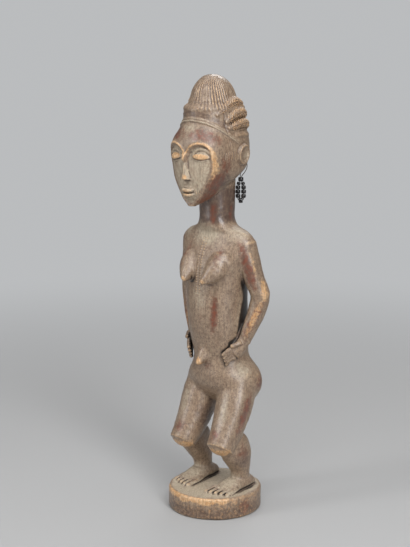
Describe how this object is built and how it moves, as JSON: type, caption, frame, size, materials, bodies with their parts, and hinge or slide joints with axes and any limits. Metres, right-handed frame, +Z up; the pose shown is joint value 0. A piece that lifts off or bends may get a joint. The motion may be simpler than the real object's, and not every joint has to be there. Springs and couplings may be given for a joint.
{
  "type": "standing figure statue",
  "caption": "Carved wooden standing figure with bent knees on a round base, hands at the belly, and a small string of glass beads behind one ear.",
  "frame": {"origin": "middle of the flat underside of the base", "axes": "+Z up, the figure faces -Y, its left side is +X"},
  "size_m": [0.1113, 0.0956, 0.44],
  "materials": {
    "wood": "hand-carved hardwood, dark worn patina with lighter rubbed edges",
    "thread": "dull twisted thread",
    "bead_glass": "glossy opaque black glass"
  },
  "bodies": {
    "root": {"figure": "wood", "bead_thread": "thread", "bead_1": "bead_glass", "bead_2": "bead_glass", "bead_3": "bead_glass", "bead_4": "bead_glass", "bead_5": "bead_glass", "bead_6": "bead_glass", "bead_7": "bead_glass", "bead_8": "bead_glass", "bead_9": "bead_glass", "bead_10": "bead_glass"}
  },
  "joints": []
}
